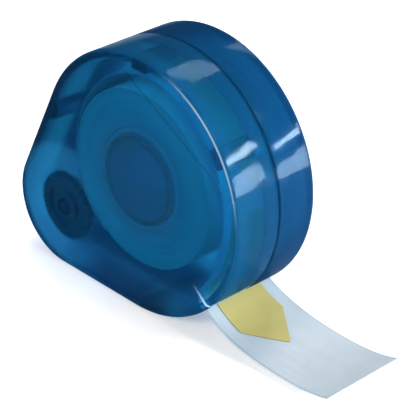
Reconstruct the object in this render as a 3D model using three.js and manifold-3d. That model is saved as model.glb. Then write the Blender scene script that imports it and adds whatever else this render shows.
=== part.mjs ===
// A palm-size dispenser of sticky index tabs: a translucent two-part case with a round body and a small lobe,
// a roll of yellow arrow flags on a milky carrier strip, and a toothed wheel in the lobe.
// Millimetres, +Z up. +X points along the face towards the exit slot, and the face looks along -Y.
// Sections are drawn in the X and Z plane, so a Vector2 holds x and z.
import * as THREE from 'three';
import { mergeVertices } from 'three/addons/utils/BufferGeometryUtils.js';
import Module from 'manifold-3d';

const wasm = await Module();
wasm.setup();

// Case
const BODY_RADIUS = 33.6;
const LOBE_RADIUS = 16.2;
const WALL = 1.5;
const SIDE_GAP = 1;
const SEAM_OFFSET = 1.1;
const EDGE_RADIUS = 1.3;
const SEAM_GAP = 0.3;
const TONGUE_DEPTH = 3.4;
const TONGUE_WALL = 1.1;
const TONGUE_GAP = 0.3;

// Locating ribs on the front half's wall, at directions in degrees from the body's axis
const RIB_ANGLES = [34, 90, 164.5];
const RIB_WIDTH = 5;
const RIB_HEIGHT = 2.1;
const RIB_END_GAP = 0.5;

// Exit slot, between lips at directions in degrees from the body's axis
const FRONT_LIP_ANGLE = -41;
const REAR_LIP_ANGLE = -44.5;
const LOWER_LIP_ANGLE = -51;
const SLOT_SIDE_GAP = 0.5;

// Roll of flags, wound on a core that turns on the case's hub
const ROLL_LIFT = 1.2;
const ROLL_WALL_GAP = 9.3;
const ROLL_TURN_RIDGES = 6;
const ROLL_RIDGE_DEPTH = 0.2;
const CORE_RADIUS = 12.9;
const CORE_WALL = 1.2;
const CORE_FIT_GAP = 0.15;
const HUB_GAP = 0.3;
const HUB_WALL = 1.3;
const HUB_END_GAP = 0.3;

// Carrier strip
const STRIP_WIDTH = 21.4;
const STRIP_THICKNESS = 0.2;
const ROLL_STRIP_GAP = 0.35;
const LOOSE_WALL_GAP = 4.3;
const LEAVE_ANGLE = 170;
const LOOSEN_ANGLE = 100;
const LOOSE_END_ANGLE = -22;
const LOOSE_STEP_ANGLE = 12;
// Points of the bend to the slot: the share of the way from the loose turn to the outline, and degrees ahead of it
const BEND = [[0.08, 17.75], [0.11, 9.75], [0.21, 3.25], [0.54, -0.25], [1.05, 0]];
const STRIP_REACH = 40;
const REACH_STEPS = 12;
const STRIP_LOW = 2.5;
const STRIP_SAG = 0.22;
const STRIP_CURL = 2.3;
const STRIP_TILT = 1.6;
const STRIP_END_SKEW = 2.4;

// Arrow flags on the strip, counted from its free end
const FLAG_COUNT = 3;
const FLAG_WIDTH = 14.3;
const FLAG_LENGTH = 47.6;
const FLAG_POINT = 9.5;
const FLAG_TIP_WIDTH = 0.4;
const FLAG_THICKNESS = 0.12;
const FLAG_GAP = 0.05;
const FLAG_SPACING = 3.2;
const FIRST_FLAG_MARGIN = 23;

// Toothed wheel on a stud in the lobe
const WHEEL_RADIUS = 8.7;
const WHEEL_ROLL_GAP = 1.45;
const WHEEL_TEETH = 40;
const TOOTH_DEPTH = 0.7;
const WHEEL_THICKNESS = 2.4;
const WHEEL_RIM = 1.8;
const WHEEL_WEB = 1;
const WHEEL_FACE_GAP = 0.5;
const WHEEL_HUB_WALL = 1.3;
const WHEEL_HUB_LENGTH = 5.4;
const STUD_RADIUS = 2.3;
const STUD_WALL = 1.2;
const STUD_GAP = 0.12;
const STUD_LIP = 0.35;
const STUD_LIP_LENGTH = 0.8;

// Smoothness
const BODY_ARC_STEPS = 60;
const LOBE_ARC_STEPS = 22;
const EDGE_STEPS = 3;
const ROUND_STEPS = 56;
const SPLINE_STEPS = 4;
const STATION_GAP = 0.05;

// Places worked out from the sizes
const REAR_FACE = STRIP_WIDTH / 2 + SIDE_GAP + WALL;
const FRONT_FACE = -REAR_FACE;
const SEAM = SEAM_OFFSET;
const ROLL_RADIUS = BODY_RADIUS - WALL - ROLL_WALL_GAP;
const BODY_AXIS = new THREE.Vector2(0, BODY_RADIUS);
const ROLL_AXIS = new THREE.Vector2(0, BODY_RADIUS + ROLL_LIFT);
const WHEEL_DISTANCE = ROLL_RADIUS + WHEEL_ROLL_GAP + WHEEL_RADIUS;
const LOBE_OFFSET = Math.sqrt(WHEEL_DISTANCE ** 2 - (ROLL_AXIS.y - LOBE_RADIUS) ** 2);
const LOBE_AXIS = new THREE.Vector2(-LOBE_OFFSET, LOBE_RADIUS);
const CORE_BORE = CORE_RADIUS - CORE_WALL;
const HUB_RADIUS = CORE_BORE - HUB_GAP;
const PAST = WALL * 2;

const LOOKS = {
  case: { color: 0x1f73ab, roughness: 0.12, metalness: 0 },
  liner: { color: 0xc4d2db, roughness: 0.4, metalness: 0 },
  flag: { color: 0xe0d268, roughness: 0.55, metalness: 0 },
  core: { color: 0xd8d8d2, roughness: 0.6, metalness: 0 },
  wheel: { color: 0x1b2436, roughness: 0.5, metalness: 0 },
};

// The point at a radius and a direction in radians from an axis
function polar(axis, radius, angle) {
  return new THREE.Vector2(axis.x + radius * Math.cos(angle), axis.y + radius * Math.sin(angle));
}

// The case's outline at an inset, anticlockwise: an arc about each axis, joined by the floor line and a tangent
function outline(inset) {
  const between = BODY_AXIS.clone().sub(LOBE_AXIS);
  const rise = Math.atan2(between.y, between.x);
  const tangent = rise + Math.acos((LOBE_RADIUS - BODY_RADIUS) / between.length());
  const floor = -Math.PI / 2;
  const points = [];
  for (let i = 0; i <= BODY_ARC_STEPS; i++) {
    const angle = floor + ((tangent - floor) * i) / BODY_ARC_STEPS;
    points.push(polar(BODY_AXIS, BODY_RADIUS - inset, angle));
  }
  for (let i = 0; i <= LOBE_ARC_STEPS; i++) {
    const angle = tangent + ((floor + 2 * Math.PI - tangent) * i) / LOBE_ARC_STEPS;
    points.push(polar(LOBE_AXIS, LOBE_RADIUS - inset, angle));
  }
  return points;
}

// A closed mesh from rings of equal count, each [section points, y], with a flat cap at each end
function loft(rings) {
  const count = rings[0][0].length;
  const vertices = [];
  const faces = [];
  rings.forEach(([points, y]) => points.forEach((p) => vertices.push(p.x, y, p.y)));
  for (let r = 0; r + 1 < rings.length; r++) {
    for (let i = 0; i < count; i++) {
      const a = r * count + i;
      const b = r * count + ((i + 1) % count);
      faces.push(a, b, a + count, b, b + count, a + count);
    }
  }
  const last = (rings.length - 1) * count;
  const [start, end] = [rings[0][0], rings[rings.length - 1][0]];
  THREE.ShapeUtils.triangulateShape(start, []).forEach(([a, b, c]) => faces.push(a, c, b));
  THREE.ShapeUtils.triangulateShape(end, []).forEach(([a, b, c]) => faces.push(last + a, last + b, last + c));
  const geometry = new THREE.BufferGeometry();
  geometry.setAttribute('position', new THREE.Float32BufferAttribute(vertices, 3));
  geometry.setIndex(faces);
  return geometry;
}

// A closed geometry as a solid that can be joined and cut, with its faces turned outwards
function solid(geometry) {
  const bare = geometry.clone();
  bare.deleteAttribute('normal');
  bare.deleteAttribute('uv');
  const merged = mergeVertices(bare, 1e-4);
  const vertProperties = new Float32Array(merged.attributes.position.array);
  const triVerts = new Uint32Array(merged.index.array);
  const build = () => new wasm.Manifold(new wasm.Mesh({ numProp: 3, vertProperties, triVerts }));
  const made = build();
  if (made.volume() > 0) return made;
  triVerts.reverse();
  return build();
}

// A solid back as a geometry
function geometryOf(made) {
  const mesh = made.getMesh();
  const geometry = new THREE.BufferGeometry();
  geometry.setAttribute('position', new THREE.BufferAttribute(new Float32Array(mesh.vertProperties), 3));
  geometry.setIndex(Array.from(mesh.triVerts));
  return geometry;
}

// A prism along Y with a given section
function prism(points, y0, y1) {
  return solid(loft([[points, y0], [points, y1]]));
}

// The points of a circle about an axis
function circle(axis, radius) {
  return Array.from({ length: ROUND_STEPS }, (_, i) => polar(axis, radius, (2 * Math.PI * i) / ROUND_STEPS));
}

// A round bar along Y
function bar(axis, radius, y0, y1) {
  return prism(circle(axis, radius), y0, y1);
}

// A tube along Y
function tube(axis, outer, inner, y0, y1) {
  return bar(axis, outer, y0, y1).subtract(bar(axis, inner, y0 - PAST, y1 + PAST));
}

// Half a case: a plate with a rounded edge at face, and a side wall from it to end
function halfCase(face, end) {
  const way = Math.sign(end - face);
  const rings = [];
  for (let i = 0; i <= EDGE_STEPS; i++) {
    const angle = (Math.PI / 2) * (i / EDGE_STEPS);
    const inset = EDGE_RADIUS * (1 - Math.sin(angle));
    rings.push([outline(inset), face + way * EDGE_RADIUS * (1 - Math.cos(angle))]);
  }
  rings.push([outline(0), end]);
  return solid(loft(rings)).subtract(prism(outline(WALL), face + way * WALL, end + way * PAST));
}

// The part of the side wall between two directions in degrees, to cut the exit slot with
function wallSector(fromAngle, toAngle, y0, y1) {
  const near = BODY_RADIUS - WALL - TONGUE_GAP - TONGUE_WALL - RIB_HEIGHT;
  const far = BODY_RADIUS + PAST;
  const [from, to] = [fromAngle, toAngle].map(THREE.MathUtils.degToRad);
  const points = [[near, from], [far, from], [far, to], [near, to]];
  return prism(points.map(([radius, angle]) => polar(BODY_AXIS, radius, angle)), y0, y1);
}

// Where a direction in degrees from the body's axis meets the inside of the wall: the point, and along the wall
function wallMeeting(direction) {
  const angle = THREE.MathUtils.degToRad(direction);
  const ray = new THREE.Vector2(Math.cos(angle), Math.sin(angle));
  const points = outline(WALL).map((p) => p.clone().sub(BODY_AXIS));
  for (let i = 0; i < points.length; i++) {
    const a = points[i];
    const edge = points[(i + 1) % points.length].clone().sub(a);
    const share = -a.cross(ray) / edge.cross(ray);
    const at = a.clone().addScaledVector(edge, share);
    if (share >= 0 && share <= 1 && at.dot(ray) > 0) return { at: at.add(BODY_AXIS), along: edge.normalize() };
  }
  return null;
}

// A locating rib along the inside of the front wall, up to the tongue's end
function rib(direction) {
  const { at, along } = wallMeeting(direction);
  const inward = new THREE.Vector2(-along.y, along.x);
  const corner = (s, t) => at.clone().addScaledVector(along, (s * RIB_WIDTH) / 2).addScaledVector(inward, t);
  const root = -WALL / 2;
  const section = [corner(-1, root), corner(1, root), corner(1, RIB_HEIGHT), corner(-1, RIB_HEIGHT)];
  return prism(section, FRONT_FACE + WALL / 2, SEAM - TONGUE_DEPTH - RIB_END_GAP);
}

const slotHalf = STRIP_WIDTH / 2 + SLOT_SIDE_GAP;
const frontPlate = FRONT_FACE + WALL;
const rearPlate = REAR_FACE - WALL;
const wheelFront = frontPlate + WHEEL_FACE_GAP;
const wheelHubEnd = wheelFront + WHEEL_HUB_LENGTH;

// The wheel's stud: a tube with a snap lip past the wheel's hub
function stud() {
  const lipStart = wheelHubEnd + STUD_GAP * 2;
  const lipEnd = lipStart + STUD_LIP_LENGTH;
  const shaft = bar(LOBE_AXIS, STUD_RADIUS, FRONT_FACE + WALL / 2, lipEnd);
  const lip = bar(LOBE_AXIS, STUD_RADIUS + STUD_LIP, lipStart, lipEnd);
  return shaft.add(lip).subtract(bar(LOBE_AXIS, STUD_RADIUS - STUD_WALL, frontPlate, lipEnd + PAST));
}

function frontShell() {
  const hubEnd = SEAM - HUB_END_GAP / 2;
  let shell = halfCase(FRONT_FACE, SEAM - SEAM_GAP / 2)
    .add(tube(ROLL_AXIS, HUB_RADIUS, HUB_RADIUS - HUB_WALL, FRONT_FACE + WALL / 2, hubEnd)
      .subtract(bar(ROLL_AXIS, HUB_RADIUS + PAST, FRONT_FACE, frontPlate - WALL / 4)))
    .add(stud());
  RIB_ANGLES.forEach((direction) => {
    shell = shell.add(rib(direction));
  });
  return shell.subtract(wallSector(LOWER_LIP_ANGLE, FRONT_LIP_ANGLE, -slotHalf, SEAM + PAST));
}

function rearShell() {
  const wallEnd = SEAM + SEAM_GAP / 2;
  const tongueInset = WALL + TONGUE_GAP;
  const tongueRoot = wallEnd + TONGUE_WALL + TONGUE_GAP;
  const tongue = prism(outline(tongueInset), SEAM - TONGUE_DEPTH, tongueRoot)
    .subtract(prism(outline(tongueInset + TONGUE_WALL), SEAM - TONGUE_DEPTH - PAST, tongueRoot + PAST));
  const shoulder = prism(outline(WALL / 2), wallEnd + TONGUE_GAP, tongueRoot)
    .subtract(prism(outline(tongueInset + TONGUE_WALL), wallEnd - PAST, tongueRoot + PAST));
  const hub = tube(ROLL_AXIS, HUB_RADIUS, HUB_RADIUS - HUB_WALL, SEAM + HUB_END_GAP / 2, rearPlate + WALL / 2);
  return halfCase(REAR_FACE, wallEnd).add(shoulder).add(tongue).add(hub)
    .subtract(wallSector(LOWER_LIP_ANGLE, REAR_LIP_ANGLE, SEAM - TONGUE_DEPTH - PAST, slotHalf));
}

// The wound roll, with low ridges on its sides that show its turns
function tabRoll() {
  const inner = CORE_RADIUS + CORE_FIT_GAP;
  const pitch = (ROLL_RADIUS - inner) / ROLL_TURN_RIDGES;
  const half = STRIP_WIDTH / 2;
  const side = [];
  for (let i = 0; i < ROLL_TURN_RIDGES; i++) {
    side.push(new THREE.Vector2(inner + pitch * i, half - ROLL_RIDGE_DEPTH));
    side.push(new THREE.Vector2(inner + pitch * (i + 0.5), half));
  }
  side.push(new THREE.Vector2(ROLL_RADIUS, half - ROLL_RIDGE_DEPTH));
  const mirrored = side.map((p) => new THREE.Vector2(p.x, -p.y)).reverse();
  return roundAlongY([...side, ...mirrored], ROLL_AXIS);
}

function rollCore() {
  return tube(ROLL_AXIS, CORE_RADIUS, CORE_BORE, -STRIP_WIDTH / 2, STRIP_WIDTH / 2);
}

// A closed profile of radius and height, turned about Y and set on an axis
function roundAlongY(profile, axis) {
  const geometry = new THREE.LatheGeometry([...profile, profile[0]], ROUND_STEPS);
  geometry.translate(axis.x, 0, axis.y);
  return solid(geometry);
}

// The disc with teeth, hollowed in front of its web, and a longer hub on the stud
function toothedWheel() {
  const profile = [];
  for (let i = 0; i < WHEEL_TEETH * 2; i++) {
    const radius = i % 2 ? WHEEL_RADIUS : WHEEL_RADIUS - TOOTH_DEPTH;
    profile.push(polar(LOBE_AXIS, radius, (Math.PI * i) / WHEEL_TEETH));
  }
  const bore = STUD_RADIUS + STUD_GAP;
  const disc = prism(profile, wheelFront, wheelFront + WHEEL_THICKNESS);
  const webFront = wheelFront + WHEEL_THICKNESS - WHEEL_WEB;
  const hollow = bar(LOBE_AXIS, WHEEL_RADIUS - TOOTH_DEPTH - WHEEL_RIM, wheelFront - PAST, webFront);
  return disc.subtract(hollow)
    .add(bar(LOBE_AXIS, bore + WHEEL_HUB_WALL, wheelFront, wheelHubEnd))
    .subtract(bar(LOBE_AXIS, bore, wheelFront - PAST, wheelHubEnd + PAST));
}

const looseStart = ROLL_RADIUS + ROLL_STRIP_GAP + STRIP_THICKNESS / 2;
const looseRun = BODY_RADIUS - WALL - LOOSE_WALL_GAP;

// A turn about the roll between two directions in degrees, that widens once it leaves the roll
function looseTurn(from, to) {
  const steps = Math.ceil((from - to) / LOOSE_STEP_ANGLE);
  return Array.from({ length: steps + 1 }, (_, i) => {
    const angle = THREE.MathUtils.lerp(from, to, i / steps);
    const widen = THREE.MathUtils.smoothstep(LEAVE_ANGLE - angle, 0, LOOSEN_ANGLE);
    return polar(ROLL_AXIS, THREE.MathUtils.lerp(looseStart, looseRun, widen), THREE.MathUtils.degToRad(angle));
  });
}

// The length of a line through points
function lengthOf(points) {
  return points.slice(1).reduce((sum, p, i) => sum + p.distanceTo(points[i]), 0);
}

// The strip's route to its free end, as points of its middle line: a turn on the roll long enough for the last
// flag, the loose turn, a bend to the exit slot, and the pulled-out length that sags to the floor and curls up
function stripRoute() {
  const slot = (REAR_LIP_ANGLE + LOWER_LIP_ANGLE) / 2;
  const inside = BODY_RADIUS - looseRun;
  const bend = BEND.map(([share, ahead]) =>
    polar(BODY_AXIS, looseRun + inside * share, THREE.MathUtils.degToRad(slot + ahead)));
  const mouth = bend[bend.length - 1];
  const reach = [];
  for (let i = 1; i <= REACH_STEPS; i++) {
    const t = i / REACH_STEPS;
    const sag = (mouth.y - STRIP_LOW) * Math.exp(-t / STRIP_SAG);
    reach.push(new THREE.Vector2(mouth.x + STRIP_REACH * t, STRIP_LOW + sag + STRIP_CURL * t ** 6));
  }
  const free = [...looseTurn(LEAVE_ANGLE, LOOSE_END_ANGLE), ...bend, ...reach];
  const needed = FIRST_FLAG_MARGIN + FLAG_COUNT * (FLAG_LENGTH + FLAG_SPACING);
  const wound = THREE.MathUtils.radToDeg((needed - lengthOf(free)) / looseStart);
  const points = [...looseTurn(LEAVE_ANGLE + wound, LOOSE_END_ANGLE), ...bend, ...reach];
  return { points, mouthIndex: points.length - 1 - REACH_STEPS };
}

// The route as a fine line of stations: length along it, place, and the normal on the flags' side
function stationsOf({ points, mouthIndex }) {
  const curve = new THREE.CatmullRomCurve3(points.map((p) => new THREE.Vector3(p.x, 0, p.y)), false, 'catmullrom', 0.5);
  const count = (points.length - 1) * SPLINE_STEPS;
  const line = Array.from({ length: count + 1 }, (_, i) => curve.getPoint(i / count));
  const stations = [];
  let length = 0;
  line.forEach((place, i) => {
    if (i > 0) length += place.distanceTo(line[i - 1]);
    const before = place.clone().sub(line[Math.max(i - 1, 0)]).normalize();
    const after = line[Math.min(i + 1, count)].clone().sub(place).normalize();
    const along = before.clone().add(after).normalize();
    const stretch = 1 / Math.max(along.dot(i > 0 ? before : after), 0.5);
    stations.push({ length, place, along, normal: new THREE.Vector3(-along.z * stretch, 0, along.x * stretch) });
  });
  return { stations, mouth: stations[mouthIndex * SPLINE_STEPS].length, total: length };
}

const route = stationsOf(stripRoute());

// How far the strip has tilted sideways at a length: not at all inside, fully soon after the slot
function tiltAt(length) {
  const settle = STRIP_WIDTH / 2;
  const grown = THREE.MathUtils.smoothstep(length - route.mouth, -settle / 2, settle);
  return (STRIP_TILT * grown) / STRIP_WIDTH;
}

// The station at a length along the route, between two of its stations
function stationAt(length) {
  const next = Math.max(route.stations.findIndex((s) => s.length >= length), 1);
  const [a, b] = [route.stations[next - 1], route.stations[next]];
  const share = (length - a.length) / (b.length - a.length);
  return {
    length,
    place: a.place.clone().lerp(b.place, share),
    along: a.along.clone().lerp(b.along, share).normalize(),
    normal: a.normal.clone().lerp(b.normal, share),
  };
}

// A thin band on the route between two lengths. halfWidth gives its half width at a length, low and high are its
// faces measured from the route's middle line, and skew moves the corners of its free end along it
function band(from, to, extra, halfWidth, low, high, skew) {
  const inner = route.stations.map((s) => s.length)
    .filter((length) => length > from + STATION_GAP && length < to - STATION_GAP);
  const lengths = [...inner, from, to, ...extra].sort((a, b) => a - b);
  const vertices = [];
  lengths.forEach((length) => {
    const station = stationAt(length);
    const half = halfWidth(length);
    [[-half, low], [half, low], [half, high], [-half, high]].forEach(([y, offset]) => {
      const corner = station.place.clone().addScaledVector(station.normal, offset);
      if (length === to) corner.addScaledVector(station.along, (skew * y) / STRIP_WIDTH);
      vertices.push(corner.x, y, corner.z + tiltAt(length) * y);
    });
  });
  const faces = [0, 1, 2, 0, 2, 3];
  for (let r = 0; r + 1 < lengths.length; r++) {
    for (let k = 0; k < 4; k++) {
      const [a, b] = [r * 4 + k, r * 4 + ((k + 1) % 4)];
      faces.push(a, a + 4, b, b, a + 4, b + 4);
    }
  }
  const last = (lengths.length - 1) * 4;
  faces.push(last, last + 2, last + 1, last, last + 3, last + 2);
  const geometry = new THREE.BufferGeometry();
  geometry.setAttribute('position', new THREE.Float32BufferAttribute(vertices, 3));
  geometry.setIndex(faces);
  return solid(geometry);
}

function carrierStrip() {
  const half = STRIP_THICKNESS / 2;
  return band(0, route.total, [], () => STRIP_WIDTH / 2, -half, half, STRIP_END_SKEW);
}

// An arrow flag on the strip's outer face: a rectangle that ends in a point towards the strip's free end
function arrowFlag(index) {
  const tip = route.total - FIRST_FLAG_MARGIN - index * (FLAG_LENGTH + FLAG_SPACING);
  const shoulder = tip - FLAG_POINT;
  const tail = tip - FLAG_LENGTH;
  const halfWidth = (length) => {
    const share = THREE.MathUtils.clamp((tip - length) / FLAG_POINT, 0, 1);
    return THREE.MathUtils.lerp(FLAG_TIP_WIDTH, FLAG_WIDTH, share) / 2;
  };
  const low = STRIP_THICKNESS / 2 + FLAG_GAP;
  return band(tail, tip, [shoulder], halfWidth, low, low + FLAG_THICKNESS, 0);
}

const group = new THREE.Group();

function addPiece(name, made, look) {
  const mesh = new THREE.Mesh(geometryOf(made), new THREE.MeshStandardMaterial(look));
  mesh.name = name;
  group.add(mesh);
}

addPiece('front_shell', frontShell(), LOOKS.case);
addPiece('rear_shell', rearShell(), LOOKS.case);
addPiece('roll_core', rollCore(), LOOKS.core);
addPiece('tab_roll', tabRoll(), LOOKS.liner);
addPiece('carrier_strip', carrierStrip(), LOOKS.liner);
for (let i = 0; i < FLAG_COUNT; i++) addPiece(`arrow_flag_${i + 1}`, arrowFlag(i), LOOKS.flag);
addPiece('toothed_wheel', toothedWheel(), LOOKS.wheel);

// The origin is the middle of the whole part's footprint, on the floor
const box = new THREE.Box3().setFromObject(group);
group.position.x = -(box.min.x + box.max.x) / 2;

export default group;
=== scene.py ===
# %% [markdown]
# # A dispenser of sticky index tabs
# The part is a palm-size case of clear blue plastic with a roll of arrow flags inside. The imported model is
# loaded as a fixed frame: every piece below is made in the same place, in metres, and rides on one of its bodies.

# %% Load the frame
import math

import bmesh
import bpy
import numpy as np
from mathutils import Matrix, Vector


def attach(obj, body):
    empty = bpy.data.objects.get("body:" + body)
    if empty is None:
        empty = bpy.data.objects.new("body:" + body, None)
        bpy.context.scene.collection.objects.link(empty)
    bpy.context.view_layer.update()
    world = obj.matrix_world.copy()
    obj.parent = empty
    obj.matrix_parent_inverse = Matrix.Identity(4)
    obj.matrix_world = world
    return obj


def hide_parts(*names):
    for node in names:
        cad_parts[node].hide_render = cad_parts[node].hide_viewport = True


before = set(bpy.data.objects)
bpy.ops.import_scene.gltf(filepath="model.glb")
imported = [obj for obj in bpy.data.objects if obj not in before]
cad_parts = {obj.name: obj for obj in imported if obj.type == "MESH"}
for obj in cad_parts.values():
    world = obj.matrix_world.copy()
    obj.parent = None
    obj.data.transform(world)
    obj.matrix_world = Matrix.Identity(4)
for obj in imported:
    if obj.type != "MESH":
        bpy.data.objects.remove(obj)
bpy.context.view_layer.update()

# %% [markdown]
# ## The camera
# The photograph was taken from above the front right, fairly close. A camera is placed by the point it looks at,
# two angles, a distance and a small roll, which is easier to match to a picture than a position and three turns.

# %% Camera
AIM = Vector((-0.00618, 0.00731, 0.02165))
AZIMUTH, ELEVATION, CAMERA_ROLL = (math.radians(a) for a in (44.7215, 29.9812, 1.7691))
DISTANCE = 0.451482

to_camera = Vector((
    math.sin(AZIMUTH) * math.cos(ELEVATION), -math.cos(AZIMUTH) * math.cos(ELEVATION), math.sin(ELEVATION)))
level_right = Vector((math.cos(AZIMUTH), math.sin(AZIMUTH), 0))
level_up = to_camera.cross(level_right)
right = level_right * math.cos(CAMERA_ROLL) + level_up * math.sin(CAMERA_ROLL)
up = level_up * math.cos(CAMERA_ROLL) - level_right * math.sin(CAMERA_ROLL)
lens = bpy.data.cameras.new("view")
lens.sensor_width = 36
lens.lens = 159.2425
view = bpy.data.objects.new("view", lens)
turn = Matrix((right, up, to_camera)).transposed().to_4x4()
view.matrix_world = Matrix.Translation(AIM + to_camera * DISTANCE) @ turn
bpy.context.scene.collection.objects.link(view)
bpy.context.scene.camera = view
print("camera at", [round(v, 4) for v in view.matrix_world.translation])

# %% [markdown]
# ## Shader maths in plain expressions
# A material is a graph of nodes. Wrapping a node's output in a small class lets the maths between nodes be
# written as ordinary expressions, so `1 - mask * 0.5` adds its own Math nodes. Everything that isn't arithmetic
# goes through one method, which takes the node's type, its settings and what its sockets receive. Places on a
# piece are read in metres for noise, and in millimetres where a mask has to meet a size of the model.


# %% Values and finishes
MM = 0.001


class Value:
    """The output of a node, with arithmetic that adds Math nodes."""

    def __init__(self, finish, socket):
        self.finish, self.socket = finish, socket

    def _math(self, operation, first, second):
        return self.finish.node("Math", {"operation": operation}, {0: first, 1: second})

    def __add__(self, other): return self._math("ADD", self, other)
    def __radd__(self, other): return self._math("ADD", other, self)
    def __sub__(self, other): return self._math("SUBTRACT", self, other)
    def __rsub__(self, other): return self._math("SUBTRACT", other, self)
    def __mul__(self, other): return self._math("MULTIPLY", self, other)
    def __rmul__(self, other): return self._math("MULTIPLY", other, self)

    def step(self, low, high):
        """Rises smoothly from 0 at low to 1 at high."""
        return self.finish.node(
            "MapRange", {"interpolation_type": "SMOOTHSTEP"}, {"Value": self, "From Min": low, "From Max": high})


class Finish:
    """A material being put together."""

    def __init__(self, name):
        self.material = bpy.data.materials.new(name)
        self.material.use_nodes = True
        self.tree = self.material.node_tree
        self.tree.nodes.clear()

    def node(self, kind, settings=None, sockets=None, out=0):
        """Adds a node of a type, applies its settings, then gives its sockets their values or links."""
        made = self.tree.nodes.new("ShaderNode" + kind)
        for key, value in (settings or {}).items():
            setattr(made, key, value)
        for key, value in (sockets or {}).items():
            if isinstance(value, Value):
                self.tree.links.new(value.socket, made.inputs[key])
            else:
                made.inputs[key].default_value = value
        return Value(self, made.outputs[out] if made.outputs else None)

    def place(self):
        """The point on the piece, in metres."""
        return self.node("TexCoord", out="Object")

    def parts(self, point):
        """The X, Y and Z of a point or a direction, as three values."""
        first = self.node("SeparateXYZ", None, {0: point})
        return [Value(self, socket) for socket in first.socket.node.outputs]

    def in_mm(self):
        """The X, Y and Z of the point on the piece, in millimetres."""
        return self.parts(self.stretched((1 / MM, 1 / MM, 1 / MM)))

    def facing(self):
        """The square of the normal's Y: 1 on a face of the case or the roll, 0 on a wall round it."""
        along = self.parts(self.node("TexCoord", out="Normal"))[1]
        return along * along

    def stretched(self, scale):
        """The point on the piece with each of its axes scaled, for a pattern that runs one way."""
        return self.node("Mapping", None, {"Vector": self.place(), "Scale": scale})

    def noise(self, scale, detail=2.0, at=None):
        """Soft random variation between about 0 and 1, with scale features per metre."""
        return self.node("TexNoise", None, {"Vector": at or self.place(), "Scale": scale, "Detail": detail})

    def between(self, share, first, second):
        """A colour between two colours."""
        return self.node("Mix", {"data_type": "RGBA"}, {0: share, 6: first, 7: second}, out=2)

    def bump(self, height, distance):
        """A normal tilted by a height, which stands up by distance in metres."""
        return self.node("Bump", None, {"Height": height, "Strength": 1.0, "Distance": distance})

    def mix(self, share, first, second):
        """A shader between two shaders."""
        return self.node("MixShader", None, {0: share, 1: first, 2: second})

    def done(self, surface, **more):
        """The finished material, with its surface and any other outputs linked."""
        self.node("OutputMaterial", None, {"Surface": surface, **more})
        return self.material


print("shader maths ready")

# %% [markdown]
# ## The room
# A plain pale floor, a soft even world and a few lamps, as for a catalogue picture. The floor takes the object's
# shadow. Where the camera sees it, straight or through the plastic, it is lifted a little towards white, as in the
# photograph. The two windows are wide and low, because a wall that is curved one way and straight the other draws
# a lamp out into a streak across it.

# %% Floor, world and lamps
FLOOR_HALF, FLOOR_SHADE, FLOOR_LIFT, ROOM_LIGHT = 3.0, 0.93, 0.18, 0.38
LAMPS = (  # name, place in metres, width, height, watts
    ("key", (0.55, 0.25, 0.75), 0.35, 0.35, 3.0),
    ("top", (-0.1, 0.05, 1.1), 0.25, 0.25, 4.5),
    ("back", (-0.3, 0.75, 0.75), 0.25, 0.25, 3.5),
    ("front", (-0.05, -0.95, 0.5), 0.7, 0.5, 7.0),
    ("edge", (0.42, -0.62, 0.66), 0.08, 0.26, 3.5),
    ("window_high", (0.70, 0.615, 0.37), 0.42, 0.08, 13.0),
    ("window_low", (0.785, 0.615, 0.10), 0.42, 0.20, 15.0))

floor_mesh = bpy.data.meshes.new("floor")
floor_mesh.from_pydata([(x * FLOOR_HALF, y * FLOOR_HALF, 0) for x, y in ((-1, -1), (1, -1), (1, 1), (-1, 1))], [],
                       [(0, 1, 2, 3)])
floor = bpy.data.objects.new("floor", floor_mesh)
bpy.context.scene.collection.objects.link(floor)
paint = Finish("floor_paint")
seen = paint.node("LightPath", out="Is Camera Ray") + paint.node("LightPath", out="Is Transmission Ray")
matte = paint.node("BsdfDiffuse", None, {"Color": (FLOOR_SHADE, FLOOR_SHADE, FLOOR_SHADE, 1)})
white = paint.node("Emission", None, {"Color": (1, 1, 1, 1), "Strength": 1.0})
floor_mesh.materials.append(paint.done(paint.mix(seen * FLOOR_LIFT, matte, white)))

world = bpy.data.worlds.new("room")
bpy.context.scene.world = world
world.use_nodes = True
world.node_tree.nodes["Background"].inputs["Color"].default_value = (1, 1, 1, 1)
world.node_tree.nodes["Background"].inputs["Strength"].default_value = ROOM_LIGHT


def lamp(name, place, width, height, power):
    """A rectangular soft lamp that faces the middle of the object."""
    aim = Vector((0, 0, 0.03))
    light = bpy.data.lights.new(name, "AREA")
    light.shape, light.size, light.size_y, light.energy = "RECTANGLE", width, height, power
    made = bpy.data.objects.new(name, light)
    made.matrix_world = (Matrix.Translation(place)
                         @ (aim - Vector(place)).to_track_quat("-Z", "Y").to_matrix().to_4x4())
    bpy.context.scene.collection.objects.link(made)


for row in LAMPS:
    lamp(*row)
bpy.context.scene.view_settings.view_transform = "Standard"
bpy.context.scene.cycles.transmission_bounces = 16
bpy.context.scene.cycles.transparent_max_bounces = 32
bpy.context.scene.cycles.max_bounces = 20
print("lamps:", [row[0] for row in LAMPS])

# %% [markdown]
# ## Surfaces from numpy grids
# Every piece is a grid of points worked out with numpy, row by row, and joined into faces. A grid may close on
# itself along either direction. Points that fall together, such as those of a pole, are merged afterwards.

# %% Grid to mesh
SHARP = math.radians(32)


def grid_faces(rows, columns, close_rows, close_columns):
    """The corners of each cell of a grid, as index numbers counted along the rows."""
    r, c = np.meshgrid(np.arange(rows - (not close_rows)), np.arange(columns - (not close_columns)), indexing="ij")
    r, c = r.ravel(), c.ravel()
    r2, c2 = (r + 1) % rows, (c + 1) % columns
    return np.stack([r * columns + c, r * columns + c2, r2 * columns + c2, r2 * columns + c], 1)


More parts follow.
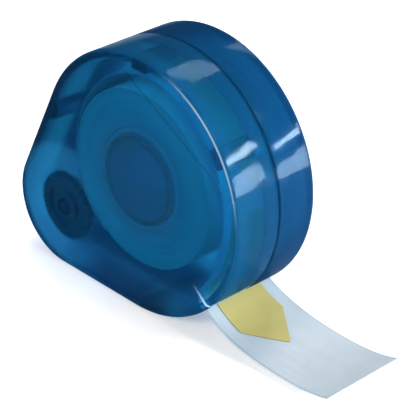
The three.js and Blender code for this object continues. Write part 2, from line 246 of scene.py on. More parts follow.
def piece(name, points, faces, finish=None):
    """A mesh object from points in millimetres: doubles merged, faces turned outwards, smooth but for its edges."""
    mesh = bpy.data.meshes.new(name)
    mesh.from_pydata(np.asarray(points) * MM, [], faces.tolist())
    shape = bmesh.new()
    shape.from_mesh(mesh)
    bmesh.ops.remove_doubles(shape, verts=shape.verts, dist=1e-7)
    bmesh.ops.recalc_face_normals(shape, faces=shape.faces)
    shape.to_mesh(mesh)
    shape.free()
    mesh.shade_smooth()
    mesh.set_sharp_from_angle(angle=SHARP)
    if finish:
        mesh.materials.append(finish)
    made = bpy.data.objects.new(name, mesh)
    bpy.context.scene.collection.objects.link(made)
    return made


def grid_piece(name, grid, close_rows=True, close_columns=True, finish=None):
    """A piece whose points fill one grid, of shape rows by columns by 3."""
    rows, columns = grid.shape[:2]
    return piece(name, grid.reshape(-1, 3), grid_faces(rows, columns, close_rows, close_columns), finish)


def joined(base, others, operation):
    """base with the other pieces added or cut away by Boolean modifiers, which are applied."""
    for other in others:
        step = base.modifiers.new("join", "BOOLEAN")
        step.operation, step.solver, step.object = operation, "EXACT", other
    bpy.context.view_layer.update()
    result = bpy.data.meshes.new_from_object(base.evaluated_get(bpy.context.evaluated_depsgraph_get()))
    base.modifiers.clear()
    base.data = result
    for other in others:
        bpy.data.objects.remove(other)
    result.shade_smooth()
    result.set_sharp_from_angle(angle=SHARP)
    return base


print("mesh helpers ready")

# %% [markdown]
# ## Sizes
# All sizes are in millimetres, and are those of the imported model. Sections lie in the X and Z plane. The roll sits
# a little above the body's axis, and the wheel's axis is the lobe's.

# %% Sizes of the case
BODY_RADIUS, LOBE_RADIUS, WALL = 33.6, 16.2, 1.5
REAR_FACE, FRONT_FACE, SEAM = 13.2, -13.2, 1.1
SEAM_GAP, EDGE_RADIUS, CORNER_RADIUS, LIP_RADIUS = 0.3, 1.3, 0.8, 0.2
TONGUE_DEPTH, TONGUE_WALL, TONGUE_GAP = 3.4, 1.1, 0.3
BODY_X, ROLL_LIFT, LOBE_OFFSET = -10.2873, 1.2, 27.198
BODY_AXIS = np.array([BODY_X, BODY_RADIUS])
ROLL_AXIS = BODY_AXIS + (0, ROLL_LIFT)
LOBE_AXIS = np.array([BODY_X - LOBE_OFFSET, LOBE_RADIUS])
HUB_RADIUS, HUB_WALL, HUB_END_GAP = 11.4, 1.3, 0.3
front_plate, rear_plate = FRONT_FACE + WALL, REAR_FACE - WALL

# %% [markdown]
# ## The outline of the case
# Seen from the front the case is the hull of two circles that stand on the floor: a large one about the roll and
# a small one about the wheel. A point on it is a centre plus a radius along a direction. On the arcs the direction
# turns and the centre stays, and on the straight sides the centre and the radius slide and the direction stays.

# %% Outline
ARC_STEPS, SIDE_STEPS = 132, 14


def rail():
    """The centres, radii and directions of the outline's points, anticlockwise from under the body's axis."""
    between = BODY_AXIS - LOBE_AXIS
    rise = math.atan2(between[1], between[0])
    tangent = rise + math.acos((LOBE_RADIUS - BODY_RADIUS) / np.hypot(*between))
    under = -math.pi / 2
    lobe_steps = ARC_STEPS // 3
    slide = np.arange(1, SIDE_STEPS) / SIDE_STEPS
    share = np.concatenate([np.zeros(ARC_STEPS + 1), slide, np.ones(lobe_steps + 1), slide[::-1]])
    angle = np.concatenate([
        np.linspace(under, tangent, ARC_STEPS + 1), np.full(SIDE_STEPS - 1, tangent),
        np.linspace(tangent, under + 2 * math.pi, lobe_steps + 1), np.full(SIDE_STEPS - 1, under)])
    centre = BODY_AXIS + share[:, None] * (LOBE_AXIS - BODY_AXIS)
    radius = BODY_RADIUS + share * (LOBE_RADIUS - BODY_RADIUS)
    return centre, radius, np.stack([np.cos(angle), np.sin(angle)], 1)


CENTRES, RADII, DIRECTIONS = rail()


def case_grid(profile):
    """A profile carried round the outline. Each row of profile is (share, inset, y), and its point lies at
    centre + share * (radius - inset) * direction, so share 1 is a wall and share 0 is the line between the axes."""
    share, inset, y = np.asarray(profile, float).T
    reach = share * (RADII[:, None] - inset)
    flat = CENTRES[:, None] + reach[..., None] * DIRECTIONS[:, None]
    return np.stack([flat[..., 0], np.broadcast_to(y, reach.shape), flat[..., 1]], 2)


print("outline:", len(RADII), "points")

# %% [markdown]
# ## Two half cases
# Each half is moulded in one piece: a face plate with a rounded edge, a side wall, and inside it half of the
# roll's hub. The front half also has three locating ribs and the wheel's stud, and the rear half has a tongue
# that slides into the front half. One closed profile gives all of that but the small forms, which are added to
# it with Booleans, because clear plastic shows any wall that is left inside it. A plate is a ring of long narrow
# faces from the line between the axes to its edge, so two more rings of points keep its shading even.


# %% Profiles
PLATE_MIDDLE, PLATE_EDGE = 0.6, 0.985


def quarter(steps, radius, from_inset, face, way):
    """A rounded outer edge: from the plate's side to the wall's side of a quarter circle."""
    angle = np.linspace(0, math.pi / 2, steps + 1)
    return [(1, from_inset + radius * (1 - math.sin(a)), face + way * radius * (1 - math.cos(a))) for a in angle]


def plate_and_wall(face, way, wall_end):
    """The outer side of a half case, from the middle of its plate to the lip of its wall."""
    lip = [(1, LIP_RADIUS * (1 - math.cos(a)), wall_end - way * LIP_RADIUS * (1 - math.sin(a)))
           for a in np.linspace(0, math.pi / 2, 4)]
    return ([(0, 0, face), (PLATE_MIDDLE, EDGE_RADIUS, face), (PLATE_EDGE, EDGE_RADIUS, face)]
            + quarter(9, EDGE_RADIUS, 0, face, way) + [(1, 0, face + way * (EDGE_RADIUS + 0.1))] + lip)


def inner_side(plate, way, wall_start, inset):
    """The inner side of a half case, from where its wall starts to the middle of its plate."""
    angle = np.linspace(0, math.pi / 2, 5)
    corner = [(1, inset + CORNER_RADIUS * (1 - math.cos(a)), plate + way * CORNER_RADIUS * (1 - math.sin(a)))
              for a in angle]
    edge = inset + CORNER_RADIUS
    return ([(1, inset, wall_start)] + corner
            + [(PLATE_EDGE, edge, plate), (PLATE_MIDDLE, edge, plate), (0, 0, plate)])


front_wall_end, rear_wall_end = SEAM - SEAM_GAP / 2, SEAM + SEAM_GAP / 2
front_profile = (plate_and_wall(FRONT_FACE, 1, front_wall_end)
                 + inner_side(front_plate, 1, front_wall_end, WALL))
outer_tongue, inner_tongue = WALL + TONGUE_GAP, WALL + TONGUE_GAP + TONGUE_WALL
tongue_end, shoulder = SEAM - TONGUE_DEPTH, rear_wall_end + TONGUE_GAP
tongue_root = shoulder + TONGUE_WALL
rear_profile = (plate_and_wall(REAR_FACE, -1, rear_wall_end)
                + [(1, WALL, rear_wall_end), (1, WALL, shoulder), (1, outer_tongue, shoulder),
                   (1, outer_tongue, tongue_end + LIP_RADIUS), (1, outer_tongue + LIP_RADIUS, tongue_end),
                   (1, inner_tongue, tongue_end), (1, inner_tongue, tongue_root)]
                + inner_side(rear_plate, -1, tongue_root, WALL))
print("profiles:", len(front_profile), "and", len(rear_profile), "points")


# %% Turned and extruded forms
def turned(name, axis, profile, steps=96, finish=None):
    """A closed profile of (radius, y) turned about an axis along Y."""
    radius, y = np.asarray(profile, float).T
    angle = np.linspace(0, 2 * math.pi, steps, endpoint=False)[:, None]
    grid = np.stack([axis[0] + radius * np.cos(angle), np.broadcast_to(y, (steps, len(y))),
                     axis[1] + radius * np.sin(angle)], 2)
    return grid_piece(name, grid, finish=finish)


def ring(name, axis, outer, inner, y0, y1, round_over=0.15, finish=None):
    """A tube along Y whose four edges are eased."""
    e = round_over
    profile = [(outer - e, y0), (outer, y0 + e), (outer, y1 - e), (outer - e, y1),
               (inner + e, y1), (inner, y1 - e), (inner, y0 + e), (inner + e, y0)]
    return turned(name, axis, profile, finish=finish)


def block(name, section, y0, y1):
    """A prism along Y from the corners of its section, which go round once."""
    section = np.asarray(section, float)
    count = len(section)
    ends = [np.stack([section[:, 0], np.full(count, y), section[:, 1]], 1) for y in (y0, y1)]
    faces = [[i, (i + 1) % count, count + (i + 1) % count, count + i] for i in range(count)]
    mesh = bpy.data.meshes.new(name)
    mesh.from_pydata(np.concatenate(ends) * MM, [], faces + [list(range(count))[::-1], list(range(count, 2 * count))])
    made = bpy.data.objects.new(name, mesh)
    bpy.context.scene.collection.objects.link(made)
    shape = bmesh.new()
    shape.from_mesh(mesh)
    bmesh.ops.recalc_face_normals(shape, faces=shape.faces)
    shape.to_mesh(mesh)
    shape.free()
    return made


def polar(axis, radius, degrees):
    """The point at a radius and a direction from an axis. Both may be arrays."""
    angle = np.radians(degrees)
    return np.stack([axis[0] + radius * np.cos(angle), axis[1] + radius * np.sin(angle)], -1)


print("turned and extruded forms ready")

# %% Small forms of the case
RIBS, RIB_WIDTH, RIB_HEIGHT, RIB_END_GAP, RIB_EASE = (34, 90, 164.5), 5.0, 2.1, 0.5, 0.35
STUD_RADIUS, STUD_BORE, WHEEL_HUB_END, STUD_GAP = 2.3, 1.1, -5.8, 0.12
STUD_HEAD, STUD_CATCH, STUD_EASE_OUT, STUD_EASE_DOWN = 0.8, 0.35, 0.15, 0.2
FRONT_LIP, REAR_LIP, LOWER_LIP = -41, -44.5, -51
SLOT_HALF, CUT_INSIDE, CUT_OUTSIDE = 11.2, 5, 3


def wall_meeting(degrees):
    """Where a direction from the body's axis meets the inside of the wall, and the direction along the wall."""
    inside = CENTRES + (RADII[:, None] - WALL) * DIRECTIONS
    off = inside - BODY_AXIS
    bearing = np.unwrap(np.arctan2(off[:, 1], off[:, 0]))
    at = [np.array([np.interp(math.radians(d), bearing, off[:, k]) for k in (0, 1)])
          for d in (degrees - 1, degrees, degrees + 1)]
    along = at[2] - at[0]
    return at[1] + BODY_AXIS, along / np.hypot(*along)


def rib(index, degrees):
    """A locating rib along the inside of the front wall."""
    at, along = wall_meeting(degrees)
    inward = np.array([-along[1], along[0]])
    half, ease = RIB_WIDTH / 2, RIB_EASE
    corners = [(-half, -WALL / 2), (half, -WALL / 2), (half, RIB_HEIGHT - ease), (half - ease, RIB_HEIGHT),
               (-half + ease, RIB_HEIGHT), (-half, RIB_HEIGHT - ease)]
    return block(f"rib_{index}", [at + s * along + t * inward for s, t in corners],
                 FRONT_FACE + WALL / 2, tongue_end - RIB_END_GAP)


def slot_cut(upper, y0, y1):
    """The part of the wall between the slot's lips."""
    near, far = BODY_RADIUS - CUT_INSIDE, BODY_RADIUS + CUT_OUTSIDE
    return block("slot_cut", [polar(BODY_AXIS, r, a) for r, a in (
        (near, LOWER_LIP), (far, LOWER_LIP), (far, upper), (near, upper))], y0, y1)


stud_end = WHEEL_HUB_END + 2 * STUD_GAP + STUD_HEAD
head = STUD_RADIUS + STUD_CATCH
stud = turned("stud", LOBE_AXIS, [
    (STUD_BORE, front_plate), (STUD_BORE, stud_end), (head - STUD_EASE_OUT, stud_end),
    (head, stud_end - STUD_EASE_DOWN), (head, stud_end - STUD_HEAD), (STUD_RADIUS, stud_end - STUD_HEAD),
    (STUD_RADIUS, FRONT_FACE + WALL / 2), (0, FRONT_FACE + WALL / 2), (0, front_plate)], 48)
front_hub = ring("front_hub", ROLL_AXIS, HUB_RADIUS, HUB_RADIUS - HUB_WALL, front_plate - WALL / 4,
                 SEAM - HUB_END_GAP / 2)
rear_hub = ring("rear_hub", ROLL_AXIS, HUB_RADIUS, HUB_RADIUS - HUB_WALL, SEAM + HUB_END_GAP / 2,
                rear_plate + WALL / 4)
front_case = grid_piece("front_case", case_grid(front_profile), close_columns=False)
rear_case = grid_piece("rear_case", case_grid(rear_profile), close_columns=False)
joined(front_case, [front_hub, stud] + [rib(i, d) for i, d in enumerate(RIBS)], "UNION")
joined(front_case, [slot_cut(FRONT_LIP, -SLOT_HALF, SEAM + CUT_OUTSIDE)], "DIFFERENCE")
joined(rear_case, [rear_hub], "UNION")
joined(rear_case, [slot_cut(REAR_LIP, tongue_end - CUT_OUTSIDE, SLOT_HALF)], "DIFFERENCE")
print("case faces:", len(front_case.data.polygons), len(rear_case.data.polygons))

# %% [markdown]
# ## The finish of the case: where things are
# One clear plastic is used for both halves, but it doesn't look the same everywhere: walls seen slantwise are
# milkier, a soft disc over the hub is painted darker, as the shade in the hollow middle of the roll, and the cut
# edge at the exit catches light. Each of these is a mask between 0 and 1, worked out from the point on the case in
# millimetres and from the way the surface faces. A pair of numbers below says where a mask starts and where it is
# full, in millimetres along an axis or in square millimetres about one.

# %% Places on the case
WALL_TURN, RIM_ON, RIM_OFF = (0.3, 0.8), (0.25, 0.5), (0.5, 0.75)
FACE_DEPTH, RIM_DEPTH, BAND_DEPTH = (-12.8, -12.4), (-11.8, -11.2), (-10.5, -7.0)
LIP_DEPTH, REAR_BAND_DEPTH, BACK_DEPTH = (0.9, 1.2), (1.2, 2.4), (11.2, 11.6)
HUB_REACH, WHEEL_REACH, LOBE_REACH, EDGE_REACH = (110, 330), (76, 100), (230, 330), (680, 900)
WHEEL_SEEN = LOBE_AXIS + (2.2, 1.6)

blue = Finish("clear_blue_plastic")
x, y, z = blue.in_mm()
turning = blue.facing()


def around(axis):
    """The square of the distance from an axis along Y."""
    off_x, off_z = x - float(axis[0]), z - float(axis[1])
    return off_x * off_x + off_z * off_z


def beside(point, direction):
    """The distance from a line in the XZ plane through a point, counted to its left."""
    return (z - float(point[1])) * float(direction[0]) - (x - float(point[0])) * float(direction[1])


wall = 1 - turning.step(*WALL_TURN)
outside = 1 - y.step(*FACE_DEPTH)
back_plate = y.step(*BACK_DEPTH)
rear_band = wall * y.step(*REAR_BAND_DEPTH)
front_band = wall * (1 - y.step(*BAND_DEPTH))
print("case masks: walls, face, back plate and the bands of the side wall")

# %% [markdown]
# ## Marks, painted light and painted shade on the face and at the exit
# A straight fine darker line crosses the face, and the face is a little milkier above it. The rim is a painted
# highlight, a thin bright line along the rounded front edge, and the lip is the light along the cut edge of the exit.
# The face is hazier over the lobe and painted a lighter blue there, as the lit floor seen through it, but not in front
# of the wheel. It is painted darker low down, as the shadow below the roll, and it is darker near its right edge.

# %% Marks
FACE_LINE_FROM, FACE_LINE_TO, FACE_LINE_FADE, ABOVE_FACE_LINE = BODY_AXIS + (-4.1, 28.9), BODY_AXIS + (29.7, 10.4), (0.0, 0.12), (-0.1, 0.5)
LOW_HEIGHT, LOW_LEFT, LOW_RIGHT, LOBE_RIGHT = (6, 15), (-34, -20), (0, 12), (-38, -22)
RIM_START, RIM_HEIGHT, EDGE_START = (-4, 10), (34, 52), (-4, 8)
EXIT_START, EXIT_HEIGHT, LIP_FADE = (6, 12), (10, 18), (0.03, 0.30)

face_line_way = (FACE_LINE_TO - FACE_LINE_FROM) / np.hypot(*(FACE_LINE_TO - FACE_LINE_FROM))
face_line = beside(FACE_LINE_FROM, face_line_way)
line = (1 - (face_line * face_line).step(*FACE_LINE_FADE)) * outside
above = face_line.step(*ABOVE_FACE_LINE) * outside
# Painted shade: a soft disc over the hub is painted darker, as the shade in the hollow middle of the roll.
hub_shade = (1 - around(ROLL_AXIS).step(*HUB_REACH)) * (1 - back_plate)
# Painted shade: low down the face is painted darker, as the shadow below the roll seen through it.
low = outside * (1 - z.step(*LOW_HEIGHT)) * x.step(*LOW_LEFT) * (1 - x.step(*LOW_RIGHT))
# Painted light: over the lobe the face is painted a lighter blue, as the lit floor seen through it, but not in front of
# the wheel.
lobe_light = (outside * (1 - x.step(*LOBE_RIGHT)) * around(WHEEL_SEEN).step(*WHEEL_REACH)
        * (1 - around(WHEEL_SEEN).step(*LOBE_REACH)))
# Painted highlight: a thin bright line along the rounded front edge.
rim_highlight = (turning.step(*RIM_ON) * (1 - turning.step(*RIM_OFF)) * (1 - y.step(*RIM_DEPTH))
       * x.step(*RIM_START) * z.step(*RIM_HEIGHT))
face_edge = outside * x.step(*EDGE_START) * around(BODY_AXIS).step(*EDGE_REACH)
by_exit = x.step(*EXIT_START) * (1 - z.step(*EXIT_HEIGHT))
lip_angle = math.radians(FRONT_LIP)
lip_off = beside(BODY_AXIS, (math.cos(lip_angle), math.sin(lip_angle)))
lip = (1 - (lip_off * lip_off).step(*LIP_FADE)) * by_exit * (1 - y.step(*LIP_DEPTH))
print("case marks: flow line, hub, lobe, low part, rim, face edge, exit and lip")

# %% [markdown]
# ## Clear blue plastic
# Clear blue plastic takes up red light first, then some green, over each millimetre that light goes through it.
# A Volume Absorption inside real walls does that by itself: thin walls look bright and edges seen along their
# length look nearly black. Lamps can't find their way through refraction, so their shadow rays take a straight
# way instead. The moulded faces aren't perfectly clear: a share of a matt blue, partly lit from behind, stands for
# their haze, and the masks say how much of it there is and in which blue. Some masks also paint light and shade
# into that blue: painted shade over the hub and low down, painted light over the lobe, a painted highlight on the
# rim. A thin gloss lies on top, and its bump is drawn out along the walls, so that the windows break into streaks.

# %% Clear blue plastic
FACE_BLUE, GLOW_BLUE, GLOSS_BLUE = (0.011, 0.158, 0.390, 1), (0.004, 0.075, 0.190, 1), (0.52, 0.74, 0.90, 1)
FACE_HAZE, CLOUD_HAZE, LOBE_TOP, GLOW_SHARE = 0.08, 0.05, (14, 24), 0.4
CLEAR_INDEX, CLEAR_ROUGHNESS, GLOSS_INDEX, GLOSS_ROUGHNESS = 1.49, 0.18, 1.13, 0.09
ABSORBED, ABSORPTION = (0.0, 0.70, 0.83, 1), 1500
HAZE_AND_PAINT = (  # mask, the blue that it leads to, the haze that it adds
    # The hub and low rows paint shade, the lobe row paints light seen through from the floor behind, and the rim row
    # paints a highlight.
    (wall, (0.004, 0.075, 0.175, 1), 0.38), (rear_band, (0.003, 0.045, 0.130, 1), 0.16),
    (hub_shade, (0.007, 0.080, 0.180, 1), 0.30), (low, (0.006, 0.040, 0.095, 1), 0.5),
    (lobe_light, (0.024, 0.275, 0.600, 1), 0.34), (line, (0.004, 0.045, 0.110, 1), 0.3),
    (face_edge, (0.005, 0.080, 0.200, 1), 0.4), (rim_highlight, (0.30, 0.42, 0.54, 1), 0.4),
    (lip, (0.45, 0.62, 0.75, 1), 0.6))

cloud = blue.noise(90, 3)
colour = FACE_BLUE
haze_and_paint_share = (FACE_HAZE + cloud * CLOUD_HAZE + above * 0.04 + back_plate * 0.14 + front_band * (1 - by_exit) * 0.25
              - wall * by_exit * 0.32 - lobe_light * z.step(*LOBE_TOP) * 0.12)
for mask, blue_there, added in HAZE_AND_PAINT:
    colour = blue.between(mask, colour, blue_there)
    haze_and_paint_share = haze_and_paint_share + mask * added
ripple = blue.bump(cloud * 0.5 + blue.noise(420, 3) * 0.3 + blue.noise(2600, 2) * 0.2, 0.00009)
waves = blue.bump(cloud * 0.4 + blue.noise(1.0, 3, blue.stretched((240, 18, 240))) * 0.6, 0.00012)
milk_and_paint = blue.node("BsdfPrincipled", None, {
    "Base Color": colour, "Roughness": 1.0, "Specular IOR Level": 0.0, "Normal": ripple})
glow = blue.node("BsdfTranslucent", None, {"Color": GLOW_BLUE, "Normal": ripple})
haze_and_paint = blue.mix(GLOW_SHARE - (hub_shade + line + lip) * 0.3, milk_and_paint, glow)
clear = blue.node("BsdfRefraction", None, {"Roughness": CLEAR_ROUGHNESS, "IOR": CLEAR_INDEX, "Normal": ripple})
gloss = blue.node("BsdfGlossy", None, {"Color": GLOSS_BLUE, "Roughness": GLOSS_ROUGHNESS, "Normal": waves})
gloss_share = (blue.node("Fresnel", None, {"IOR": GLOSS_INDEX}) * 0.22
               + wall * (0.2 + blue.noise(1500, 4) * 1.6) * 0.004 + 0.001)
coated = blue.mix(gloss_share, blue.mix(haze_and_paint_share, clear, haze_and_paint), gloss)
through = blue.node("BsdfTransparent")
tint = blue.node("VolumeAbsorption", None, {"Color": ABSORBED, "Density": ABSORPTION})
blue_plastic = blue.done(blue.mix(blue.node("LightPath", out="Is Shadow Ray"), coated, through), Volume=tint)
for shell, node in ((front_case, "front_shell"), (rear_case, "rear_shell")):
    shell.data.materials.clear()
    shell.data.materials.append(blue_plastic)
    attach(shell, "case")
    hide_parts(node)
print("case material:", blue_plastic.name)

# %% [markdown]
# ## The strip's route
# The carrier strip comes off the roll, loosens as it goes over the top, bends to the exit slot at the lower
# right and lies on the desk. Its middle line is a smooth curve through points that are set by angles about the
# roll, so it can be made as fine as the render needs.

# %% Route
ROLL_RADIUS, ROLL_STRIP_GAP, LOOSE_WALL_GAP = 22.8, 0.35, 4.3
STRIP_WIDTH, STRIP_THICKNESS = 21.4, 0.2
LEAVE, LOOSEN, LOOSE_END = 170, 100, -22
BEND = np.array([[0.08, 17.75], [0.11, 9.75], [0.21, 3.25], [0.54, -0.25], [1.05, 0]])
STRIP_REACH, STRIP_LOW, STRIP_SAG, STRIP_CURL, STRIP_TILT, END_SKEW = 40, 2.5, 0.22, 2.3, 1.6, 2.4
FLAG_WIDTH, FLAG_LENGTH, FLAG_POINT, FLAG_TIP = 14.3, 47.6, 9.5, 0.4
FLAG_THICKNESS, FLAG_GAP, FLAG_SPACING, FIRST_FLAG_MARGIN, FLAG_COUNT = 0.12, 0.05, 3.2, 23, 3
SPAN_STEPS, REACH_STEPS, LOOSE_STEP, SKEW_LENGTH = 10, 12, 12, 12
loose_start = ROLL_RADIUS + ROLL_STRIP_GAP + STRIP_THICKNESS / 2
loose_run = BODY_RADIUS - WALL - LOOSE_WALL_GAP


def smooth(t):
    """3 t^2 - 2 t^3, held between 0 and 1."""
    t = np.clip(t, 0, 1)
    return t * t * (3 - 2 * t)


def loose_turn(start, end):
    """A turn about the roll whose radius grows smoothly from the roll's once it has left it."""
    angle = np.linspace(start, end, math.ceil((start - end) / LOOSE_STEP) + 1)
    grown = smooth((LEAVE - angle) / LOOSEN)
    return polar(ROLL_AXIS, loose_start + (loose_run - loose_start) * grown, angle)


def lengths_along(points):
    """How far along a line of points each of them lies."""
    return np.concatenate([[0], np.cumsum(np.hypot(*np.diff(points, axis=0).T))])


def catmull_rom(points, steps):
    """A smooth line through points: on each span a cubic whose slope at a point is half the way from the point
    before it to the point after it."""
    ends = np.concatenate([[2 * points[0] - points[1]], points, [2 * points[-1] - points[-2]]])
    t = (np.arange(steps) / steps)[None, :, None]
    p0, p1, p2, p3 = (ends[i:len(ends) - 3 + i, None] for i in range(4))
    v1, v2 = (p2 - p0) / 2, (p3 - p1) / 2
    curve = ((2 * t**3 - 3 * t**2 + 1) * p1 + (t**3 - 2 * t**2 + t) * v1
             + (3 * t**2 - 2 * t**3) * p2 + (t**3 - t**2) * v2)
    return np.concatenate([curve.reshape(-1, 2), points[-1:]])


bend = polar(BODY_AXIS, loose_run + (BODY_RADIUS - loose_run) * BEND[:, 0], (REAR_LIP + LOWER_LIP) / 2 + BEND[:, 1])
t = np.arange(1, REACH_STEPS + 1) / REACH_STEPS
reach = np.stack([bend[-1, 0] + STRIP_REACH * t,
                  STRIP_LOW + (bend[-1, 1] - STRIP_LOW) * np.exp(-t / STRIP_SAG) + STRIP_CURL * t**6], 1)
free = np.concatenate([loose_turn(LEAVE, LOOSE_END), bend, reach])
needed = FIRST_FLAG_MARGIN + FLAG_COUNT * (FLAG_LENGTH + FLAG_SPACING)
wound = math.degrees((needed - lengths_along(free)[-1]) / loose_start)
route = catmull_rom(np.concatenate([loose_turn(LEAVE + wound, LOOSE_END), bend, reach]), SPAN_STEPS)
route_length = lengths_along(route)
total = route_length[-1]
mouth = route_length[len(route) - 1 - REACH_STEPS * SPAN_STEPS]
print("strip:", round(total, 1), "mm long, of which", round(total - mouth, 1), "outside")


# %% Bands on the route
def stations(length):
    """The point of the route's middle line at each length, and the unit directions along it and off its outer face."""
    point = np.stack([np.interp(length, route_length, route[:, k]) for k in (0, 1)], 1)
    near = 0.15
    ahead, behind = (np.stack([np.interp(length + s, route_length, route[:, k]) for k in (0, 1)], 1)
                     for s in (near, -near))
    along = (ahead - behind) / np.hypot(*(ahead - behind).T)[:, None]
    return point, along, np.stack([-along[:, 1], along[:, 0]], 1)


def band(name, lengths, half_width, low, high, skew=0.0, across=9, finish=None):
    """A thin closed band on the route. Its section is a flat loop, with across points on each face, at heights low
    and high off the route. The strip tilts sideways after the slot, and skew turns its free end."""
    point, along, off = stations(lengths)
    side = np.linspace(-1, 1, across)
    v = np.concatenate([side, side[::-1]])
    height = np.concatenate([np.full(across, low), np.full(across, high)])
    y = half_width[:, None] * v
    tilt = STRIP_TILT / STRIP_WIDTH * smooth((lengths - mouth + STRIP_WIDTH / 4) / (0.75 * STRIP_WIDTH))
    slant = skew / STRIP_WIDTH * smooth((lengths - total + SKEW_LENGTH) / SKEW_LENGTH)
    flat = (point[:, None] + off[:, None] * height[None, :, None] + along[:, None] * (slant[:, None] * y)[..., None])
    grid = np.stack([flat[..., 0], y, flat[..., 1] + tilt[:, None] * y], 2)
    ends = np.stack([grid[0].mean(0), grid[-1].mean(0)])
    grid = np.concatenate([np.broadcast_to(ends[0], (1, 2 * across, 3)), grid,
                           np.broadcast_to(ends[1], (1, 2 * across, 3))])
    return grid_piece(name, grid, close_rows=False, finish=finish)


print("bands ready")

# %% [markdown]
# ## Milky carrier film
# The strip is a release film: satin, slightly blue-white, and it lets some light through. A Translucent shader
# mixed with a satin one gives that. Faint streaks are the marks of slitting and winding. The film is painted
# bluer along its two edges, where light runs out of it, and painted darker and bluer near the case, as the case's
# blue shadow on it.

# %% Film finish
FILM_DARK, FILM_PALE, FILM_SHADE_BLUE = (0.24, 0.30, 0.35, 1), (0.48, 0.52, 0.55, 1), (0.18, 0.27, 0.34, 1)
FILM_EDGE, CASE_SHADOW_FADE, FILM_STATIONS = (10.1, 10.6), (22, 36), 460

film = Finish("milky_release_film")
film_x, film_y, _ = film.in_mm()
streak = film.noise(1.0, 3, film.stretched((40, 900, 40)))
mottle = film.noise(260, 3)
film_colour = film.between(streak * 0.4 + mottle * 0.3 + film.noise(2200, 3) * 0.3, FILM_DARK, FILM_PALE)
film_edge = (film_y * film_y).step(*(v * v for v in FILM_EDGE))
# Painted shade: bluer along the two edges, and darker and bluer near the case, as its shadow.
film_colour = film.between(film_edge * 0.6 + (1 - film_x.step(*CASE_SHADOW_FADE)) * 0.35, film_colour, FILM_SHADE_BLUE)
film_face = film.node("BsdfPrincipled", None, {
    "Base Color": film_colour, "Roughness": 0.32 + mottle * 0.2, "Specular IOR Level": 0.4,
    "Normal": film.bump(film.noise(1500, 2), 0.00003)})
film_glow = film.node("BsdfTranslucent", None, {"Color": (0.50, 0.57, 0.62, 1)})
milky_film = film.done(film.mix(0.3, film_face, film_glow))
strip = band("milky_strip", np.linspace(0, total, FILM_STATIONS), np.full(FILM_STATIONS, STRIP_WIDTH / 2),
             -STRIP_THICKNESS / 2, STRIP_THICKNESS / 2, skew=END_SKEW, finish=milky_film)
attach(strip, "case")
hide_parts("carrier_strip")
print("strip faces:", len(strip.data.polygons))

# %% [markdown]
# ## Arrow flags
# Each flag is a matte yellow film with a pointed end. It lies on the strip's outer face, so it follows the same
# route, and its half width falls to the tip over the last few millimetres.

# %% Flags
YELLOW_DARK, YELLOW_PALE, YELLOW_IN_SHADOW = (0.285, 0.250, 0.058, 1), (0.40, 0.365, 0.130, 1), (0.20, 0.20, 0.08, 1)
FLAG_CASE_SHADOW, FLAG_STATIONS, POINT_STATIONS = (23, 34), 90, 24

yellow = Finish("matte_yellow_film")
yellow_x, _, _ = yellow.in_mm()
grain = yellow.noise(4200, 3)
flag_colour = yellow.between(yellow.noise(480, 4) * 0.7 + grain * 0.3, YELLOW_DARK, YELLOW_PALE)
# Painted shadow: near the case the flags are painted darker, as the case's shadow on them.
flag_colour = yellow.between((1 - yellow_x.step(*FLAG_CASE_SHADOW)) * 0.3, flag_colour, YELLOW_IN_SHADOW)
flag_face = yellow.node("BsdfPrincipled", None, {
    "Base Color": flag_colour, "Roughness": 0.5 + grain * 0.2, "Normal": yellow.bump(grain, 0.00002)})
flag_glow = yellow.node("BsdfTranslucent", None, {"Color": (0.47, 0.43, 0.15, 1)})
yellow_film = yellow.done(yellow.mix(0.25, flag_face, flag_glow))
for index in range(FLAG_COUNT):
    tip = total - FIRST_FLAG_MARGIN - index * (FLAG_LENGTH + FLAG_SPACING)
    cut = np.concatenate([np.linspace(tip - FLAG_LENGTH, tip - FLAG_POINT, FLAG_STATIONS),
                          np.linspace(tip - FLAG_POINT, tip, POINT_STATIONS)[1:]])
    half = (FLAG_TIP + (FLAG_WIDTH - FLAG_TIP) * np.clip((tip - cut) / FLAG_POINT, 0, 1)) / 2
    under = STRIP_THICKNESS / 2 + FLAG_GAP
    flag = band(f"flag_{index + 1}", cut, half, under, under + FLAG_THICKNESS, across=5, finish=yellow_film)
    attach(flag, "case")
    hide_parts(f"arrow_flag_{index + 1}")
print("flags:", FLAG_COUNT)

# %% [markdown]
# ## The roll and its core
# The wound strip shows its turns as fine rings on the roll's sides. A turned profile with a low ridge for each
# few turns gives them, and the finish adds the finer rings from the distance to the roll's axis. The roll's outer
# face is painted much lighter than its sides, as light that hardly reaches it inside the case, and the sides are
# darker, partly for their cut film edges and partly as painted shade between the turns.

# %% Roll and core
CORE_RADIUS, CORE_WALL, CORE_FIT_GAP = 12.9, 1.2, 0.15
TURNS, RIDGE, RIDGE_START, RING_RATE, ROLL_STEPS = 16, 0.12, 0.3, 9000, 160

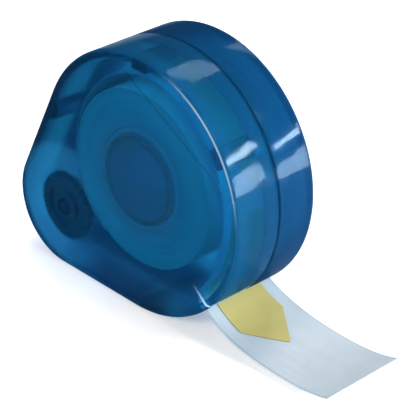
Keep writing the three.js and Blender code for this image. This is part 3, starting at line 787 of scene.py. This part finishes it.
roll_inner = CORE_RADIUS + CORE_FIT_GAP
pitch = (ROLL_RADIUS - roll_inner) / TURNS
edges = roll_inner + pitch * np.arange(TURNS)
ridges = np.stack([np.stack([edges, np.full(TURNS, STRIP_WIDTH / 2 - RIDGE)], 1),
                   np.stack([edges + RIDGE_START * pitch, np.full(TURNS, STRIP_WIDTH / 2)], 1)], 1).reshape(-1, 2)
ridges = np.concatenate([ridges, [[ROLL_RADIUS, STRIP_WIDTH / 2 - RIDGE]]])
wound_side = Finish("wound_film")
centred = wound_side.node("Mapping", None, {
    "Vector": wound_side.place(), "Location": (-ROLL_AXIS[0] * MM, 0, -ROLL_AXIS[1] * MM)})
far_x, _, far_z = wound_side.parts(centred)
from_axis = wound_side.node("Math", {"operation": "SQRT"}, {0: far_x * far_x + far_z * far_z})
rings = wound_side.node("Math", {"operation": "SINE"}, {0: from_axis * RING_RATE + wound_side.noise(60, 2) * 2})
# Painted light and shade: darker sides, partly painted shade between the turns, and a much lighter outer face.
roll_colour = wound_side.between(rings * 0.25 + 0.5, (0.17, 0.23, 0.27, 1), (0.25, 0.31, 0.35, 1))
roll_colour = wound_side.between(wound_side.facing().step(0.2, 0.7), (0.70, 0.76, 0.79, 1), roll_colour)
wound_face = wound_side.node("BsdfPrincipled", None, {
    "Base Color": roll_colour, "Roughness": 0.5, "Normal": wound_side.bump(rings, 0.00004)})
roll = turned("wound_roll", ROLL_AXIS, np.concatenate([ridges, ridges[::-1] * (1, -1)]), ROLL_STEPS,
              wound_side.done(wound_face))
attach(roll, "roll")
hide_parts("tab_roll")

plain = Finish("plain_core_plastic")
speckle = plain.noise(700, 3)
plain_face = plain.node("BsdfPrincipled", None, {
    "Base Color": plain.between(speckle, (0.22, 0.28, 0.31, 1), (0.30, 0.36, 0.39, 1)),
    "Roughness": 0.5 + speckle * 0.2, "Normal": plain.bump(speckle, 0.00003)})
core = ring("core_ring", ROLL_AXIS, CORE_RADIUS, CORE_RADIUS - CORE_WALL, -STRIP_WIDTH / 2, STRIP_WIDTH / 2, 0.25,
            plain.done(plain_face))
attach(core, "roll")
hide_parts("roll_core")
print("roll radius", ROLL_RADIUS, "core radius", CORE_RADIUS)

# %% [markdown]
# ## The toothed wheel
# A thin dark disc turns on the stud just behind the face. Its section is turned about the stud, and the radius of
# its rim goes in and out with the angle to make the teeth.

# %% Wheel
WHEEL_RADIUS, TEETH, TOOTH_DEPTH, WHEEL_THICKNESS, WHEEL_RIM, WHEEL_WEB = 8.7, 40, 0.7, 2.4, 1.8, 1.0
WHEEL_HUB_WALL, WHEEL_PLATE_GAP, WHEEL_EASE = 1.3, 0.5, 0.2
TOOTH_STEPS, TOOTH_SLOPE, TOOTH_FLAT = 8, 2.2, 0.05

WHEEL_BORE = STUD_RADIUS + STUD_GAP
WHEEL_HUB = WHEEL_BORE + WHEEL_HUB_WALL
wheel_front = front_plate + WHEEL_PLATE_GAP
hollow = WHEEL_RADIUS - TOOTH_DEPTH - WHEEL_RIM
wheel_back = wheel_front + WHEEL_THICKNESS
web_front = wheel_back - WHEEL_WEB
section = np.array([
    (WHEEL_BORE, wheel_front), (WHEEL_HUB, wheel_front), (WHEEL_HUB, web_front), (hollow, web_front),
    (hollow, wheel_front), (WHEEL_RADIUS - WHEEL_EASE, wheel_front), (WHEEL_RADIUS, wheel_front + WHEEL_EASE),
    (WHEEL_RADIUS, wheel_back - WHEEL_EASE), (WHEEL_RADIUS - WHEEL_EASE, wheel_back), (WHEEL_HUB, wheel_back),
    (WHEEL_HUB, WHEEL_HUB_END), (WHEEL_BORE, WHEEL_HUB_END)])
toothed = section[:, 0] > WHEEL_RADIUS - 2 * WHEEL_EASE
angle = np.linspace(0, 2 * math.pi, TEETH * TOOTH_STEPS, endpoint=False)[:, None]
tooth = smooth(TOOTH_SLOPE * np.abs(((angle * TEETH / (2 * math.pi)) % 1) - 0.5) - TOOTH_FLAT)
radius = section[:, 0] - TOOTH_DEPTH * tooth * toothed
wheel_grid = np.stack([LOBE_AXIS[0] + radius * np.cos(angle), np.broadcast_to(section[:, 1], radius.shape),
                       LOBE_AXIS[1] + radius * np.sin(angle)], 2)
dark = Finish("dark_moulded_plastic")
pitted = dark.noise(1800, 3)
dark_face = dark.node("BsdfPrincipled", None, {
    "Base Color": dark.between(dark.noise(300, 2), (0.008, 0.012, 0.026, 1), (0.020, 0.028, 0.050, 1)),
    "Roughness": 0.38 + pitted * 0.25, "Normal": dark.bump(pitted, 0.00003)})
wheel = grid_piece("wheel_disc", wheel_grid, finish=dark.done(dark_face))
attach(wheel, "wheel")
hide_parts("toothed_wheel")
print("wheel teeth:", TEETH)
